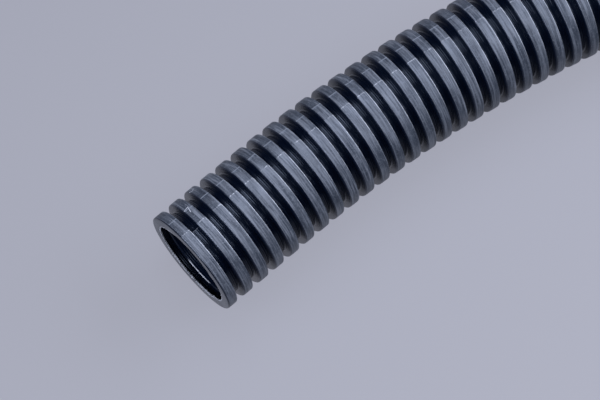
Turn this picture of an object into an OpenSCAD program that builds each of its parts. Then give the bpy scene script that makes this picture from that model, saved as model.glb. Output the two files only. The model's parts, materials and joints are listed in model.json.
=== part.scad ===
// Corrugated conduit: one cut length of blow-moulded plastic tube, lying on a level floor.
// The origin is the centre of the first cut end. The tube leaves it along +X, bends towards -Y
// in the level plane and ends in a second straight stretch.

/* [Section] */
// Outside diameter over the crests
outer_d = 28.5; // [24:0.1:60]
// Diameter of the bore at the valleys
bore_d = 23; // [14:0.1:23.6]
// Thickness of the moulded wall
wall = 0.65; // [0.4:0.05:0.8]

/* [Waves] */
// Distance from one crest to the next
pitch = 5.03; // [4.2:0.01:8]
// Width of a crest along the tube
crest_w = 2.85; // [2.2:0.05:3.2]
// Radius of the outer corners of a crest
crest_corner_r = 0.5; // [0.1:0.05:0.6]

/* [Run] */
// Crests in the straight stretch behind the first cut end
first_ribs = 6; // [1:1:20]
// Crests in the bend
bend_ribs = 115; // [2:1:140]
// Crests in the straight stretch before the second cut end
last_ribs = 78; // [1:1:100]
// Angle through which the bend turns
bend_angle = 90; // [5:1:110]

/* [Hidden] */
$fn = 48;

outer_r = outer_d / 2;
bore_r = bore_d / 2;
valley_r = bore_r + wall;
valley_w = pitch - crest_w;
// A valley's wall runs on by this much inside the flanks on both sides of it.
seat = wall * 0.6;
// The flanks clear the bore by this much, so that only the valleys bound it.
lip = 0.1;
lip_r = bore_r + lip;
// Half widths of a crest outside and in its hollow.
crest_half = crest_w / 2;
hollow_half = crest_half - wall;
hollow_r = outer_r - wall;
// Steps of a rounded crest corner.
corner_steps = 3;
// Each wave of the bend turns by the same small angle on the bend's radius.
wave_angle = bend_angle / (bend_ribs + 1);
bend_r = pitch / 2 / tan(wave_angle / 2);

// Outside of the crest at x, from its first flank to its second, as [radius, x].
function crest_outline(x) = [
    for (side = [-1, 1], k = [0:corner_steps])
        let (turn = 90 * (side < 0 ? corner_steps - k : k) / corner_steps)
        [
            outer_r - crest_corner_r * (1 - cos(turn)),
            x + side * (crest_half - crest_corner_r * (1 - sin(turn)))
        ]
];

// Hollow of the crest at x, from its second flank back to its first, as [radius, x].
function hollow_outline(x) = [
    [lip_r, x + hollow_half], [hollow_r, x + hollow_half],
    [hollow_r, x - hollow_half], [lip_r, x - hollow_half]
];

// Outside and inside of the valley that follows the crest at x, as [radius, x].
function valley_outside(x) = [[valley_r, x + crest_half], [valley_r, x + pitch - crest_half]];
function valley_inside(x) =
    let (start = x + crest_half - seat, end = x + pitch - crest_half + seat)
    [[lip_r, end], [bore_r, end], [bore_r, start], [lip_r, start]];

// A row of crests along +X with valleys between them, the first crest centred on the origin.
module straight_row(ribs) {
    outside = [for (i = [0:ribs - 1]) each concat(
        crest_outline(i * pitch), i < ribs - 1 ? valley_outside(i * pitch) : [])];
    inside = [for (i = [ribs - 1:-1:0]) each concat(
        i < ribs - 1 ? valley_inside(i * pitch) : [], hollow_outline(i * pitch))];
    first_lip = [[lip_r, -crest_half]];
    last_lip = [[lip_r, (ribs - 1) * pitch + crest_half]];
    rotate([0, 90, 0]) rotate_extrude() polygon(concat(first_lip, outside, last_lip, inside));
}

// The wall of one valley, centred on the origin.
module valley() {
    rotate([0, 90, 0]) rotate_extrude()
        translate([bore_r, -valley_w / 2 - seat]) square([wall, valley_w + 2 * seat]);
}

// Carries its children along the bend by a number of waves.
module along_bend(waves) {
    translate([0, -bend_r, 0]) rotate(-waves * wave_angle) translate([0, bend_r, 0]) children();
}

// A stretch of the bend, centred on the origin and built up from its halves.
// Each wave is a crest with the valley that follows it.
module bend(ribs) {
    if (ribs == 1) {
        straight_row(1);
        along_bend(0.5) valley();
    } else {
        before = floor(ribs / 2);
        after = ribs - before;
        along_bend(-after / 2) bend(before);
        along_bend(before / 2) bend(after);
    }
}

module conduit() {
    color([0.27, 0.32, 0.37]) translate([crest_half + (first_ribs - 1) * pitch, 0, 0]) {
        translate([-(first_ribs - 1) * pitch, 0, 0]) straight_row(first_ribs);
        along_bend(0.5) valley();
        along_bend((bend_ribs + 1) / 2) bend(bend_ribs);
        along_bend(bend_ribs + 1) straight_row(last_ribs);
    }
}

conduit();
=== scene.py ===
"""The looks of a cut length of corrugated conduit.

The moulded wall is one closed mesh in procedural plastic, shown in a plain pale studio.
"""

import json
import math

import bpy
import numpy as np
from mathutils import Matrix, Vector


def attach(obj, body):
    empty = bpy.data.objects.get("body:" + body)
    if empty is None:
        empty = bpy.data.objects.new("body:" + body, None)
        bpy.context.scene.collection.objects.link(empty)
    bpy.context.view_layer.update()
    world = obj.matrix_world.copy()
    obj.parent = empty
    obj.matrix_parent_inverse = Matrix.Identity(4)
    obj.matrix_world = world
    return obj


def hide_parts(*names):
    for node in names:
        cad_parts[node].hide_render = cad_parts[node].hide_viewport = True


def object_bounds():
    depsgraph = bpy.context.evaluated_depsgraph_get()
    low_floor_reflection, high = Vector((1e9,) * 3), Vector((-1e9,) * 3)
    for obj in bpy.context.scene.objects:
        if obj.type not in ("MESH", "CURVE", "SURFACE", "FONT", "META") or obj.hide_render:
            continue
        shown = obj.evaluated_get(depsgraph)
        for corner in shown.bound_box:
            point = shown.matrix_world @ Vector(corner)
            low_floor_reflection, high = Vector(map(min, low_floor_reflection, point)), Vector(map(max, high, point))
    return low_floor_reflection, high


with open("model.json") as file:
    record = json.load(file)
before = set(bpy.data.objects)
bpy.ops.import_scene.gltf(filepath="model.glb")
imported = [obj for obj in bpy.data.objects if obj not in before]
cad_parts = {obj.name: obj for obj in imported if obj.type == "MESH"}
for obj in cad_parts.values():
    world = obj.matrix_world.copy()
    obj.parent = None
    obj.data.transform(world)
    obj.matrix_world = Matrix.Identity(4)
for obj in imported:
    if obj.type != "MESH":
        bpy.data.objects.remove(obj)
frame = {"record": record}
cad_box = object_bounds()

# ---------------------------------------------------------------- sizes, in metres

MOUNTS = {m["name"]: m for m in frame["record"]["mounts"]}
OUTER_R = MOUNTS["end_a"]["dims"]["r_mm"] / 1000
BORE_R = 0.0115
WALL = 0.00065
PITCH = 0.00503
CREST_W = 0.00285
CORNER_R = 0.00032
EDGE_BAND = 0.00008  # flat of a crest that borders each rounded edge
ROOT_R = 0.00025
INNER_CORNER_R = 0.00025
VALLEY_BAND_HALF = 0.00038  # raised band round the middle of each valley
VALLEY_BAND_HEIGHT = 0.00005
VALLEY_BAND_FOOT = 1.3  # width of its foot over that of its top
FIRST_RIBS = 6
BEND_RIBS = 115
LAST_RIBS = 78
BEND_ANGLE = math.pi / 2

VALLEY_R = BORE_R + WALL
CREST_HALF = CREST_W / 2
HOLLOW_HALF = CREST_HALF - WALL
HOLLOW_R = OUTER_R - WALL
RIBS = FIRST_RIBS + BEND_RIBS + LAST_RIBS
LENGTH = (RIBS - 1) * PITCH + CREST_W
BEND_START = (FIRST_RIBS - 1) * PITCH + CREST_HALF
BEND_LENGTH = (BEND_RIBS + 1) * PITCH
WAVE_ANGLE = BEND_ANGLE / (BEND_RIBS + 1)
BEND_R = PITCH / 2 / math.tan(WAVE_ANGLE / 2)

# ---------------------------------------------------------------- detail

FINE_RIBS = 27  # crests at the first end that carry the fine outside
FINE_LAST_RIBS = 2  # crests at the second end that carry it too
FINE_BORE_RIBS = 5  # crests at each end that carry the fine inside
FINE_SIDES = 88
COARSE_SIDES = 30
FINE_BORE_SIDES = 72
COARSE_BORE_SIDES = 18
CORNER_STEPS = 3
SHARP_ANGLE = math.radians(38)

# ---------------------------------------------------------------- marks on the wall

# Two mould lines run along the tube. Angles go round from the outside of the bend.
SEAM_ANGLE = math.radians(56.7)
SECOND_SEAM_ANGLE = math.radians(77.7)
SEAM_HALF_WIDTH = math.radians(0.5)
SEAM_HEIGHT = 0.00006
SECOND_SEAM_HEIGHT = 0.000025
SAME_ANGLE = 1e-6
SECOND_LINE_HALF = 0.014  # radians to either side that the second one is painted, with glints painted on it on the crests
SHEEN_STEP_HALF = 0.02  # radians over which the painted sheen and highlights change at the second one

# The top of each crest is dulled between two light lines painted as highlights on its edges, placed from
# the middle of the crest; at the back the dulled top reaches over the rounded edge, where its lighter tone
# also paints in part of that edge's highlight.
LAND_FRONT = -0.00112
LAND_BACK = 0.00133
LAND_SOFTNESS = 0.00006
FRONT_HIGHLIGHT_HALF = 0.00009
BACK_HIGHLIGHT_HALF = 0.00012
RIDGE_PITCH = 0.00055  # fine moulding ridges that run round the valleys

# Where dust with painted sheen and the painted highlight lines come in and go out again, as (start, end)
# angles in radians.
DUST_AND_SHEEN_IN = (0.95, 1.1)
DUST_AND_SHEEN_OUT = (1.8, 2.6)
HIGHLIGHT_IN = (0.75, 1.1)
HIGHLIGHT_OUT = (1.9, 2.5)
FLOOR_REFLECTION_IN = (2.7, 3.05)  # painted reflection of the floor, counted both ways round, so on both sides of the inner line of the bend

# The first cut end: rings on its face, and the ragged lip that the knife left round the bore.
CUT_RING_INSETS = (0.0011, 0.0020)
LIP_BEVEL = 0.00025
LIP_CREST_S = 0.0001
LIP_END_S = 0.0003
LIP_ROUGHNESS = 0.00007
BURRS = ((0.85, 0.34, 0.0006),  # (angle, half width, height), the first one a wide flap of torn film
         (1.45, 0.06, 0.0004),
         (2.32, 0.05, 0.0010),
         (3.02, 0.03, 0.0004),
         (3.79, 0.06, 0.0012),
         (3.95, 0.03, 0.0006),
         (4.90, 0.05, 0.0004))

# Small damage on the crests, placed by distance from the first cut end and angle.
V_TIP = (0.00675, math.radians(54))
CURVE_TOP = (0.0107, math.radians(35.5))
SCRATCHES = (((0.0053, math.radians(56)), V_TIP),
             (V_TIP, (0.0063, math.radians(62))),
             ((0.0100, math.radians(31)), CURVE_TOP),
             (CURVE_TOP, (0.0116, math.radians(32.5))))
SCRATCH_HALF_WIDTH = 0.00016
CHIP = (0.0113, math.radians(160))
CHIP_R = 0.00035


def centre_line(s):
    """The point and the heading of the tube's axis at a distance s from the first cut end."""
    if s <= BEND_START:
        return Vector((s, 0, 0)), 0.0
    if s < BEND_START + BEND_LENGTH:
        turn = (s - BEND_START) / PITCH * WAVE_ANGLE
        return Vector((BEND_START + BEND_R * math.sin(turn), BEND_R * (math.cos(turn) - 1), 0)), turn
    rest = s - BEND_START - BEND_LENGTH
    return Vector((BEND_START + BEND_R, -BEND_R - rest, 0)), BEND_ANGLE


def unbent(s, angle, radius=OUTER_R):
    """Where a point of the wall would lie if the tube were straight."""
    return Vector((s, radius * math.cos(angle), radius * math.sin(angle)))


def arc(centre_s, centre_r, radius, start, end, steps):
    """Points (s, r) on an arc in the section, from one angle to another; angle 0 points along +s."""
    turns = [start + (end - start) * k / steps for k in range(steps + 1)]
    return [(centre_s + radius * math.cos(a), centre_r + radius * math.sin(a)) for a in turns]


def crest_top(s, steps):
    """Outside of one crest, from the top of its first flank to the top of its second."""
    inset = CREST_HALF - CORNER_R
    first = arc(s - inset, OUTER_R - CORNER_R, CORNER_R, math.pi, math.pi / 2, steps)
    second = arc(s + inset, OUTER_R - CORNER_R, CORNER_R, math.pi / 2, 0, steps)
    band = [(s - inset + EDGE_BAND, OUTER_R), (s + inset - EDGE_BAND, OUTER_R)] if steps > 1 else []
    return first + band + second


def crest_foot(s, side):
    """Rounding between a crest's flank and the valley on one side of it, out from the crest on side 1."""
    flank = (s + side * CREST_HALF, VALLEY_R + ROOT_R)
    floor = (s + side * (CREST_HALF + ROOT_R), VALLEY_R)
    return [flank, floor] if side > 0 else [floor, flank]


def valley_band(s):
    """Low raised band round the middle of the valley that follows the crest at s."""
    middle = s + PITCH / 2
    half = VALLEY_BAND_HALF
    foot = VALLEY_BAND_FOOT * half
    top_r = VALLEY_R + VALLEY_BAND_HEIGHT
    return [(middle - foot, VALLEY_R), (middle - half, top_r),
            (middle + half, top_r), (middle + foot, VALLEY_R)]


def outside_profile():
    """Points (s, r, sides) of the outside from the first cut end to the second, with its waves."""
    points = []
    for i in range(RIBS):
        s = CREST_HALF + i * PITCH
        fine = i < FINE_RIBS or i >= RIBS - FINE_LAST_RIBS
        sides = FINE_SIDES if fine else COARSE_SIDES
        row = []
        if i > 0:
            row += crest_foot(s, -1) if fine else [(s - CREST_HALF, VALLEY_R)]
        row += crest_top(s, CORNER_STEPS if fine else 1)
        if i < RIBS - 1:
            row += crest_foot(s, 1) + valley_band(s) if fine else [(s + CREST_HALF, VALLEY_R)]
        points += [(a, r, sides) for a, r in row]
    return points


def inside_profile():
    """Points (s, r, sides) of the inside from the first cut end to the second, with its hollow crests."""
    points = []
    c = INNER_CORNER_R
    for i in range(RIBS):
        s = CREST_HALF + i * PITCH
        low_floor_reflection, high = s - HOLLOW_HALF, s + HOLLOW_HALF
        if i < FINE_BORE_RIBS or i >= RIBS - FINE_BORE_RIBS:
            row = [(low_floor_reflection - c, BORE_R), (low_floor_reflection, BORE_R + c), (low_floor_reflection, HOLLOW_R - c), (low_floor_reflection + c, HOLLOW_R)]
            row += [(high - c, HOLLOW_R), (high, HOLLOW_R - c), (high, BORE_R + c), (high + c, BORE_R)]
            sides = FINE_BORE_SIDES
        else:
            row = [(low_floor_reflection, BORE_R), (low_floor_reflection, HOLLOW_R), (high, HOLLOW_R), (high, BORE_R)]
            sides = COARSE_BORE_SIDES
        points += [(a, r, sides) for a, r in row]
    return points


def ring_angles(sides):
    """Angles of a ring's points, round from the outside of the bend.

    Rings with FINE_SIDES also get points for the two mould lines.
    """
    angles = [2 * math.pi * k / sides for k in range(sides)]
    if sides == FINE_SIDES:
        for seam in (SEAM_ANGLE, SECOND_SEAM_ANGLE):
            edges = [seam + k * SEAM_HALF_WIDTH for k in (-1, 0, 1)]
            angles = [a for a in angles if min(abs(a - e) for e in edges) > SEAM_HALF_WIDTH] + edges
    return sorted(angles)


class TubeMesh:
    """Rings of points round the centre line, joined into one closed skin."""

    def __init__(self):
        self.points = []
        self.straight = []
        self.faces = []

    def ring(self, s, r, angles, offset=None):
        """Adds a ring and returns its (index, angle) list; offset(angle) gives (ds, dr) there."""
        out = []
        for angle in angles:
            ds, dr = offset(angle) if offset else (0.0, 0.0)
            centre, heading = centre_line(s + ds)
            side = Vector((math.sin(heading), math.cos(heading), 0))
            radial = side * math.cos(angle) + Vector((0, 0, math.sin(angle)))
            out.append((len(self.points), angle))
            self.points.append(centre + radial * (r + dr))
            self.straight.append(unbent(s + ds, angle, r + dr))
        return out

    def join(self, a, b, inward=False):
        """Fills between two rings, with quads where they match and triangles where they don't."""
        first = len(self.faces)
        if len(a) == len(b):
            for k in range(len(a)):
                n = (k + 1) % len(a)
                self.faces.append((a[k][0], a[n][0], b[n][0], b[k][0]))
        else:
            self.zip_up(a, b)
        if inward:
            self.faces[first:] = [face[::-1] for face in self.faces[first:]]

    def zip_up(self, a, b):
        """Triangles between two rings with different numbers of points, by angle."""
        full = 2 * math.pi
        i = j = 0
        while i < len(a) or j < len(b):
            next_a = a[(i + 1) % len(a)][1] + full * ((i + 1) // len(a))
            next_b = b[(j + 1) % len(b)][1] + full * ((j + 1) // len(b))
            here_a, here_b = a[i % len(a)][0], b[j % len(b)][0]
            if j == len(b) or (i < len(a) and next_a <= next_b):
                self.faces.append((here_a, a[(i + 1) % len(a)][0], here_b))
                i += 1
            else:
                self.faces.append((here_a, b[(j + 1) % len(b)][0], here_b))
                j += 1


def seam_offset(s, r):
    """Raises the mould lines: the first evenly on every crest, the second by varying heights.

    Both leave the valleys flat, apart from the second in the first valley.
    """
    crest = round((s - CREST_HALF) / PITCH)
    on_crest = r > OUTER_R - CORNER_R / 2
    in_first_valley = r < VALLEY_R + ROOT_R / 2 and CREST_W < s < PITCH
    if not on_crest and not in_first_valley:
        return None
    share = 0.6 + 0.5 * math.sin(2.4 * crest) if on_crest else 2

    def offset(angle):
        if on_crest and abs(angle - SEAM_ANGLE) < SAME_ANGLE:
            return (0.0, SEAM_HEIGHT)
        if abs(angle - SECOND_SEAM_ANGLE) < SAME_ANGLE:
            return (0.0, SECOND_SEAM_HEIGHT * share)
        return (0.0, 0.0)

    return offset


def lip_offset(depth):
    """Ragged inner edge that the knife left on the first cut end."""

    def offset(angle):
        waves = math.sin(9 * angle + 1) + math.sin(23 * angle) + 0.6 * math.sin(47 * angle + 2)
        torn = sum(h * math.exp(-(((angle - a) / w) ** 2)) for a, w, h in BURRS)
        return (0.0, -depth * (torn + abs(LIP_ROUGHNESS * waves)))

    return offset


def build_tube():
    """The whole wall as one closed mesh: outside, inside and the two cut ends."""
    tube = TubeMesh()
    outer = [tube.ring(s, r, ring_angles(n), seam_offset(s, r) if n == FINE_SIDES else None)
             for s, r, n in outside_profile()]
    inner = [tube.ring(s, r, ring_angles(n)) for s, r, n in inside_profile()]
    for a, b in zip(outer, outer[1:]):
        tube.join(a, b)
    for a, b in zip(inner, inner[1:]):
        tube.join(a, b, inward=True)

    cut = [outer[0]]
    for inset in CUT_RING_INSETS:
        cut.append(tube.ring(0, OUTER_R - inset, ring_angles(FINE_SIDES)))
    cut.append(tube.ring(0, BORE_R + LIP_BEVEL, ring_angles(FINE_SIDES), lip_offset(0.5)))
    cut.append(tube.ring(LIP_CREST_S, BORE_R, ring_angles(FINE_SIDES), lip_offset(1.0)))
    cut.append(tube.ring(LIP_END_S, BORE_R, ring_angles(FINE_SIDES), lip_offset(0.3)))
    cut.append(inner[0])
    for a, b in zip(cut, cut[1:]):
        tube.join(a, b, inward=True)
    last_lip = tube.ring(LENGTH, BORE_R, ring_angles(FINE_BORE_SIDES))
    tube.join(outer[-1], last_lip)
    tube.join(last_lip, inner[-1])

    mesh = bpy.data.meshes.new("conduit_wall")
    mesh.from_pydata([tuple(p) for p in tube.points], [], tube.faces)
    attribute = mesh.attributes.new("straight", "FLOAT_VECTOR", "POINT")
    attribute.data.foreach_set("vector", np.array(tube.straight, np.float32).ravel())
    mesh.validate()
    mesh.update()
    mesh.shade_smooth()
    mesh.set_sharp_from_angle(angle=SHARP_ANGLE)
    piece = bpy.data.objects.new("conduit_wall", mesh)
    bpy.context.scene.collection.objects.link(piece)
    return piece


# ---------------------------------------------------------------- materials

# The plastic's own blue-black, made darker still as painted shade in the valleys, on the flanks and in the
# bore.
MOULDED_AND_SHADED = (0.0014, 0.0034, 0.0100, 1)
CREST_BLUE = (0.019, 0.024, 0.034, 1)
DULLED = (0.028, 0.034, 0.045, 1)
# Dark streaks of the mould, and painted shade in the chip's hollow.
DARK_STREAK_AND_SHADE = (0.010, 0.013, 0.020, 1)
# Lighter grey for dust, painted sheen and the painted reflection of the floor.
DUST_AND_PAINTED_LIGHT_GREY = (0.076, 0.082, 0.095, 1)
RUBBED = (0.110, 0.120, 0.142, 1)
# White of the torn lip and the scratches, also used for painted highlights and glints.
WHITE_WEAR_AND_HIGHLIGHT = (0.50, 0.52, 0.57, 1)
MOULDED_ROUGHNESS = 0.25
LAND_ROUGHNESS = 0.46
BUMP_DISTANCE = 0.00006


class Nodes:
    """Short calls for building a node tree."""

    def __init__(self, name):
        self.material = bpy.data.materials.new(name)
        self.material.use_nodes = True
        self.tree = self.material.node_tree
        self.shader = self.tree.nodes["Principled BSDF"]

    def add(self, kind, inputs=None, **settings):
        node = self.tree.nodes.new(kind)
        for key, value in settings.items():
            setattr(node, key, value)
        for key, value in (inputs or {}).items():
            self.feed(node.inputs[key], value)
        return node

    def feed(self, socket, value):
        if isinstance(value, bpy.types.NodeSocket):
            self.tree.links.new(value, socket)
        else:
            socket.default_value = value

    def math(self, operation, a, b=0.0, clamp=False):
        return self.add("ShaderNodeMath", {0: a, 1: b}, operation=operation, use_clamp=clamp).outputs[0]

    def product(self, first, *others):
        for value in others:
            first = self.math("MULTIPLY", first, value)
        return first

    def span(self, value, low_floor_reflection, high, to_low=0.0, to_high=1.0):
        """Maps low..high to to_low..to_high, and holds the ends beyond them."""
        node = self.add("ShaderNodeMapRange", {"Value": value, "From Min": low_floor_reflection, "From Max": high,
                                               "To Min": to_low, "To Max": to_high})
        return node.outputs["Result"]

    def noise(self, vector, scale, detail=3.0, roughness=0.55):
        node = self.add("ShaderNodeTexNoise", {"Vector": vector, "Scale": scale, "Detail": detail,
                                               "Roughness": roughness})
        return node.outputs["Fac"]

    def vector(self, operation, inputs, output="Vector"):
        return self.add("ShaderNodeVectorMath", inputs, operation=operation).outputs[output]

    def scaled(self, vector, factors):
        return self.vector("MULTIPLY", {0: vector, 1: factors})

    def mix(self, factor, a, b):
        node = self.add("ShaderNodeMix", data_type="RGBA")
        self.feed(node.inputs["Factor"], factor)
        self.feed(node.inputs["A"], a)
        self.feed(node.inputs["B"], b)
        return node.outputs["Result"]

    def spot(self, place, middle, radius):
        """1 at middle, falling to 0 at radius from it."""
        return self.span(self.vector("DISTANCE", {0: place, 1: middle}, "Value"), 0.0, radius, 1.0, 0.0)

    def scratch(self, place, start, end, half_width):
        """1 on a straight line from start to end, falling to 0 at half_width from it."""
        along = end - start
        from_start = self.vector("SUBTRACT", {0: place, 1: start})
        dot = self.vector("DOT_PRODUCT", {0: from_start, 1: along}, "Value")
        share = self.math("DIVIDE", dot, along.length_squared, clamp=True)
        nearest = self.vector("SCALE", {0: along, "Scale": share})
        gap = self.vector("DISTANCE", {0: from_start, 1: nearest}, "Value")
        return self.span(gap, 0.0, half_width, 1.0, 0.0)


def from_crest(n, s):
    """Place along the tube from the middle of the nearest crest, in metres."""
    wave = n.math("ADD", n.math("DIVIDE", n.math("SUBTRACT", s, CREST_HALF), PITCH), 0.5)
    return n.math("MULTIPLY", n.math("SUBTRACT", n.math("FRACT", wave), 0.5), PITCH)


def line_at(n, value, middle, half_width):
    """1 where value is middle, falling to 0 at half_width on either side."""
    return n.span(n.math("ABSOLUTE", n.math("SUBTRACT", value, middle)), 0.0, half_width, 1.0, 0.0)


class Wall:
    """Where a point of the wall lies once the tube is made straight, and the noises on it."""

    def __init__(self, n):
        self.straight = n.add("ShaderNodeAttribute", attribute_name="straight").outputs["Vector"]
        self.s, y, z = n.add("ShaderNodeSeparateXYZ", {0: self.straight}).outputs
        self.radius = n.math("SQRT", n.math("ADD", n.product(y, y), n.product(z, z)))
        self.angle = n.math("ARCTAN2", z, y)
        step = (SECOND_SEAM_ANGLE - SHEEN_STEP_HALF, SECOND_SEAM_ANGLE + SHEEN_STEP_HALF)
        self.past_seam = n.span(self.angle, *step)
        self.offset = from_crest(n, self.s)
        self.top = n.span(self.radius, OUTER_R - 0.9 * CORNER_R, OUTER_R - 0.7 * CORNER_R)
        rise = n.span(self.offset, LAND_FRONT - LAND_SOFTNESS, LAND_FRONT + LAND_SOFTNESS)
        fall = n.span(self.offset, LAND_BACK - LAND_SOFTNESS, LAND_BACK + LAND_SOFTNESS, 1.0, 0.0)
        self.land = n.product(rise, fall, self.top)

        # Lines drawn round the tube by the mould: close together along it and long round it.
        self.ring_lines = n.noise(n.scaled(self.straight, (1.0, 0.045, 0.045)), 2700.0, 4.0, 0.65)
        self.broad_lines = n.noise(n.scaled(self.straight, (1.0, 0.08, 0.08)), 1100.0, 3.0, 0.5)
        self.clouds = n.noise(self.straight, 160.0, 4.0, 0.6)
        self.mottle = n.noise(self.straight, 2200.0, 3.0, 0.6)
        self.patchy = n.span(n.noise(n.scaled(self.straight, (0.4, 1, 1)), 420.0, 3.0), 0.3, 0.55, 0.2, 1.0)
        self.chip = n.spot(self.straight, unbent(*CHIP), CHIP_R)


def dust_and_painted_light(n, wall):
    """Dust and painted sheen on the upper side, most past the second mould line, and a painted reflection
    of the floor on the side within the bend.
    """
    upper_dust_and_sheen = n.product(n.span(wall.past_seam, 0.0, 1.0, 0.5, 1.0),
                      n.span(wall.angle, *DUST_AND_SHEEN_OUT, 1.0, 0.0),
                      n.span(wall.angle, *DUST_AND_SHEEN_IN))
    low_floor_reflection = n.span(n.math("ABSOLUTE", wall.angle), *FLOOR_REFLECTION_IN, 0.0, 0.8)
    return n.math("MAXIMUM", upper_dust_and_sheen, low_floor_reflection)


def crest_colour(n, wall):
    """Blue-grey of the dulled crest tops, with dust and painted sheen, a painted floor reflection, the
    mould's streaks and both mould lines.
    """
    colour = n.mix(n.span(wall.clouds, 0.35, 0.7), CREST_BLUE, DULLED)
    # Dust with painted sheen on the upper side, and the floor's reflection painted low on the side within
    # the bend.
    colour = n.mix(n.product(dust_and_painted_light(n, wall), n.span(wall.clouds, 0.3, 0.7, 0.55, 0.95)), colour, DUST_AND_PAINTED_LIGHT_GREY)
    colour = n.mix(n.span(wall.ring_lines, 0.5, 0.66, 0.0, 0.85), colour, RUBBED)
    colour = n.mix(n.span(wall.ring_lines, 0.5, 0.36, 0.0, 0.85), colour, DARK_STREAK_AND_SHADE)
    colour = n.mix(n.span(wall.mottle, 0.52, 0.68, 0.0, 0.5), colour, RUBBED)
    seam = line_at(n, wall.angle, SEAM_ANGLE, 2.2 * SEAM_HALF_WIDTH)
    colour = n.mix(n.product(seam, 0.9), colour, RUBBED)
    # The second mould line's bright ticks are glints painted on its ridge.
    second_seam = line_at(n, wall.angle, SECOND_SEAM_ANGLE, SECOND_LINE_HALF)
    seam_glints = n.span(wall.mottle, 0.45, 0.6, 0.0, 0.5)
    return n.mix(n.product(second_seam, seam_glints), colour, WHITE_WEAR_AND_HIGHLIGHT)


def edge_highlights(n, wall):
    """Painted highlights: light lines on the upper edges of each crest, the back one far stronger."""
    front = n.product(line_at(n, wall.offset, LAND_FRONT, FRONT_HIGHLIGHT_HALF), 0.2)
    back = n.product(line_at(n, wall.offset, LAND_BACK, BACK_HIGHLIGHT_HALF), 0.95)
    upper_side = n.product(n.span(wall.past_seam, 0.0, 1.0, 0.12, 1.0),
                           n.span(wall.angle, *HIGHLIGHT_OUT, 1.0, 0.0),
                           n.span(wall.angle, *HIGHLIGHT_IN))
    return n.product(n.math("MAXIMUM", front, back), wall.top, upper_side, wall.patchy)


def first_valley_line(n, wall):
    """The second mould line where it crosses the floor of the first valley."""
    across = n.span(line_at(n, wall.s, (CREST_W + PITCH) / 2, 0.0011), 0.0, 0.1)
    line = line_at(n, wall.angle, SECOND_SEAM_ANGLE, SECOND_LINE_HALF)
    return n.product(across, line, n.span(wall.radius, VALLEY_R + 0.0006, VALLEY_R + 0.0004))


def lip_and_hollow_highlight(n, wall):
    """The knife's ragged lip, and a highlight painted on the edge of the first hollow seen through the
    mouth.
    """
    lip = n.product(n.span(wall.s, LIP_END_S, 0.0005, 0.7, 0.0),
                    n.span(wall.radius, BORE_R + 0.0004, BORE_R + 0.0002))
    hollow_highlight = n.product(line_at(n, wall.s, CREST_HALF + HOLLOW_HALF + 0.0001, 0.00016),
                     n.span(wall.radius, BORE_R + 0.0005, BORE_R + 0.0003))
    below = n.span(line_at(n, wall.angle, math.radians(-90), math.radians(22)), 0.0, 0.2)
    return n.product(n.math("MAXIMUM", lip, n.product(hollow_highlight, below)), wall.patchy)


def scratches(n, wall):
    """Short light scratches on the crests."""
    marks = 0.0
    for start, end in SCRATCHES:
        line = n.scratch(wall.straight, unbent(*start), unbent(*end), SCRATCH_HALF_WIDTH)
        marks = n.math("MAXIMUM", marks, n.product(line, 0.6))
    return marks


def plastic_colour(n, wall):
    """Blue-black in the valleys, darkened there by painted shade, blue-grey on the crests, with wear,
    painted highlights, damage and the cut face on top.
    """
    # Crest tops take their own colour; everything else takes the blue-black plastic darkened by painted
    # shade.
    colour = n.mix(wall.land, MOULDED_AND_SHADED, crest_colour(n, wall))
    # Highlights painted along the crests' edges.
    colour = n.mix(edge_highlights(n, wall), colour, WHITE_WEAR_AND_HIGHLIGHT)
    colour = n.mix(first_valley_line(n, wall), colour, RUBBED)
    # The ragged lip, and a highlight painted on the edge of the first hollow inside the mouth.
    colour = n.mix(lip_and_hollow_highlight(n, wall), colour, WHITE_WEAR_AND_HIGHLIGHT)
    colour = n.mix(scratches(n, wall), colour, WHITE_WEAR_AND_HIGHLIGHT)
    # The chip: a light rim, and a dark middle painted as shade in its hollow.
    colour = n.mix(line_at(n, wall.chip, 0.3, 0.3), colour, RUBBED)
    colour = n.mix(n.span(wall.chip, 0.45, 0.6), colour, DARK_STREAK_AND_SHADE)
    cut_face = n.span(wall.s, 0.0, 0.00005, 0.85, 0.0)
    return n.mix(cut_face, colour, DULLED)


def plastic_roughness(n, wall):
    """Glossier in the valleys than on the crests, and a little uneven."""
    roughness = n.span(wall.land, 0.0, 1.0, MOULDED_ROUGHNESS, LAND_ROUGHNESS)
    roughness = n.math("ADD", roughness, n.span(wall.broad_lines, 0.3, 0.7, -0.05, 0.05))
    return n.math("ADD", roughness, n.span(wall.clouds, 0.3, 0.7, -0.03, 0.04))


def plastic_relief(n, wall):
    """Height of the mould's lines, the ridges in the valleys and the chip, in units of BUMP_DISTANCE."""
    lines = n.math("ADD", n.product(wall.ring_lines, 0.9), n.product(wall.mottle, 0.3))
    lines = n.math("ADD", lines, n.product(wall.broad_lines, 0.6))
    lines = n.product(lines, n.span(wall.land, 0.0, 1.0, 0.35, 1.0))
    ridges = n.math("SINE", n.product(wall.offset, 2 * math.pi / RIDGE_PITCH))
    ridges = n.product(ridges, n.span(wall.land, 0.0, 1.0, 0.45, 0.05))
    return n.math("SUBTRACT", n.math("ADD", lines, ridges), n.product(wall.chip, 4.0))


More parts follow.
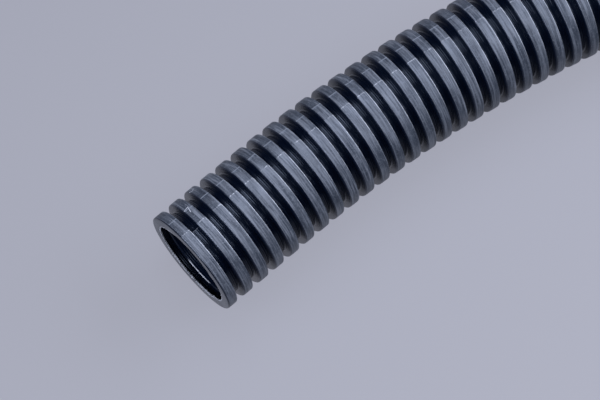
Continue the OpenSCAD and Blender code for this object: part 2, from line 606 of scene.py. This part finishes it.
def conduit_plastic():
    """Moulded plastic, blue-black and fairly glossy, and duller on the crests."""
    n = Nodes("conduit_plastic")
    wall = Wall(n)
    n.feed(n.shader.inputs["Base Color"], plastic_colour(n, wall))
    n.feed(n.shader.inputs["Roughness"], plastic_roughness(n, wall))
    n.shader.inputs["IOR"].default_value = 1.5
    n.shader.inputs["Specular IOR Level"].default_value = 0.3
    n.shader.inputs["Specular Tint"].default_value = (0.68, 0.80, 1.0, 1)
    relief = plastic_relief(n, wall)
    bump = n.add("ShaderNodeBump", {"Strength": 0.6, "Distance": BUMP_DISTANCE, "Height": relief})
    n.feed(n.shader.inputs["Normal"], bump.outputs["Normal"])
    return n.material


def floor_paper():
    """Pale matt paper that glows by itself, so that next to no shadow shows on it."""
    n = Nodes("floor_paper")
    n.shader.inputs["Base Color"].default_value = (0.028, 0.029, 0.034, 1)
    n.shader.inputs["Roughness"].default_value = 0.9
    n.shader.inputs["Specular IOR Level"].default_value = 0.1
    n.shader.inputs["Emission Color"].default_value = (0.82, 0.84, 1.0, 1)
    place = n.add("ShaderNodeTexCoord").outputs["Object"]
    across = n.add("ShaderNodeSeparateXYZ", {0: place}).outputs["Y"]
    n.feed(n.shader.inputs["Emission Strength"], n.span(across, *FLOOR_GLOW_PLACES, *FLOOR_GLOW))
    return n.material


# ---------------------------------------------------------------- studio

FLOOR_SIZE = 12
FLOOR_MIDDLE = (0.2, -0.3)
# The floor's glow falls from the near side to the far side, between two places on its own Y axis.
FLOOR_GLOW = (0.445, 0.375)
FLOOR_GLOW_PLACES = (0.21, 0.39)
WORLD_COLOUR = (0.80, 0.84, 1.0, 1)
WORLD_STRENGTH = 0.01

LIT_POINT = Vector((0.07, -0.02, 0))
LIGHT_DISTANCE = 1.3
LIGHT_COLOUR = (0.83, 0.87, 1.0)
# Each light is (name, azimuth from +X, elevation, half width, half height, radiance), angles in degrees.
LIGHTS = (("key", 225, 58, 14, 14, 4.0),
          ("overhead", 68, 67, 12, 20, 8.2),
          ("far_side", 346, 37, 30, 15, 12.5),
          ("near_side", 165, 40, 28, 8, 11.0))

CAMERA_AZIMUTH = math.radians(-43.876)
CAMERA_ELEVATION = math.radians(71.041)
CAMERA_ROLL = math.radians(2.406)
CAMERA_DISTANCE = 0.57826
CAMERA_TARGET = Vector((0.030986, -0.005313, 0))
FOCAL_TO_WIDTH = 2347.6 / 600  # focal length over the width of the image
SENSOR_WIDTH = 36.0


def towards(azimuth, elevation):
    """Unit vector to an azimuth from +X and an elevation, both in radians."""
    level = math.cos(elevation)
    return Vector((math.cos(azimuth) * level, math.sin(azimuth) * level, math.sin(elevation)))


def soft_light(name, azimuth, elevation, half_width, half_height, radiance):
    """A soft box that faces the near end of the tube, given by where and how large it looks from there."""
    direction = towards(math.radians(azimuth), math.radians(elevation))
    light = bpy.data.lights.new(name, "AREA")
    light.shape = "RECTANGLE"
    light.size = 2 * LIGHT_DISTANCE * math.tan(math.radians(half_width))
    light.size_y = 2 * LIGHT_DISTANCE * math.tan(math.radians(half_height))
    light.energy = radiance * math.pi * light.size * light.size_y
    light.color = LIGHT_COLOUR
    lamp = bpy.data.objects.new(name, light)
    lamp.location = LIT_POINT + direction * LIGHT_DISTANCE
    lamp.rotation_euler = (-direction).to_track_quat("-Z", "Y").to_euler()
    bpy.context.scene.collection.objects.link(lamp)


def studio(floor_z):
    """Plain pale floor at floor_z, an almost dark world and the soft boxes."""
    bpy.ops.mesh.primitive_plane_add(size=FLOOR_SIZE, location=(*FLOOR_MIDDLE, floor_z))
    floor = bpy.context.object
    floor.name = "floor"
    floor.data.materials.append(floor_paper())

    world = bpy.data.worlds.new("studio")
    world.use_nodes = True
    world.node_tree.nodes["Background"].inputs["Color"].default_value = WORLD_COLOUR
    world.node_tree.nodes["Background"].inputs["Strength"].default_value = WORLD_STRENGTH
    bpy.context.scene.world = world

    for light in LIGHTS:
        soft_light(*light)


def photo_camera():
    """Looks down on the first cut end, with the tube leaving the frame at its far corner."""
    # The camera's azimuth is that of its level right side, a quarter turn from its back.
    back = towards(CAMERA_AZIMUTH - math.pi / 2, CAMERA_ELEVATION)
    level_right = towards(CAMERA_AZIMUTH, 0)
    level_up = back.cross(level_right)
    right = level_right * math.cos(CAMERA_ROLL) + level_up * math.sin(CAMERA_ROLL)
    up = level_up * math.cos(CAMERA_ROLL) - level_right * math.sin(CAMERA_ROLL)
    data = bpy.data.cameras.new("camera")
    data.lens = FOCAL_TO_WIDTH * SENSOR_WIDTH
    data.sensor_width = SENSOR_WIDTH
    data.clip_start = 0.01
    data.clip_end = 50
    camera = bpy.data.objects.new("camera", data)
    turn = Matrix((right, up, back)).transposed().to_4x4()
    camera.matrix_world = Matrix.Translation(CAMERA_TARGET + back * CAMERA_DISTANCE) @ turn
    bpy.context.scene.collection.objects.link(camera)
    bpy.context.scene.camera = camera


photo_camera()
tube_wall = build_tube()
tube_wall.data.materials.append(conduit_plastic())
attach(tube_wall, "root")
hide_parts("conduit")
studio(cad_box[0][2])

bpy.context.scene.view_settings.view_transform = "Standard"
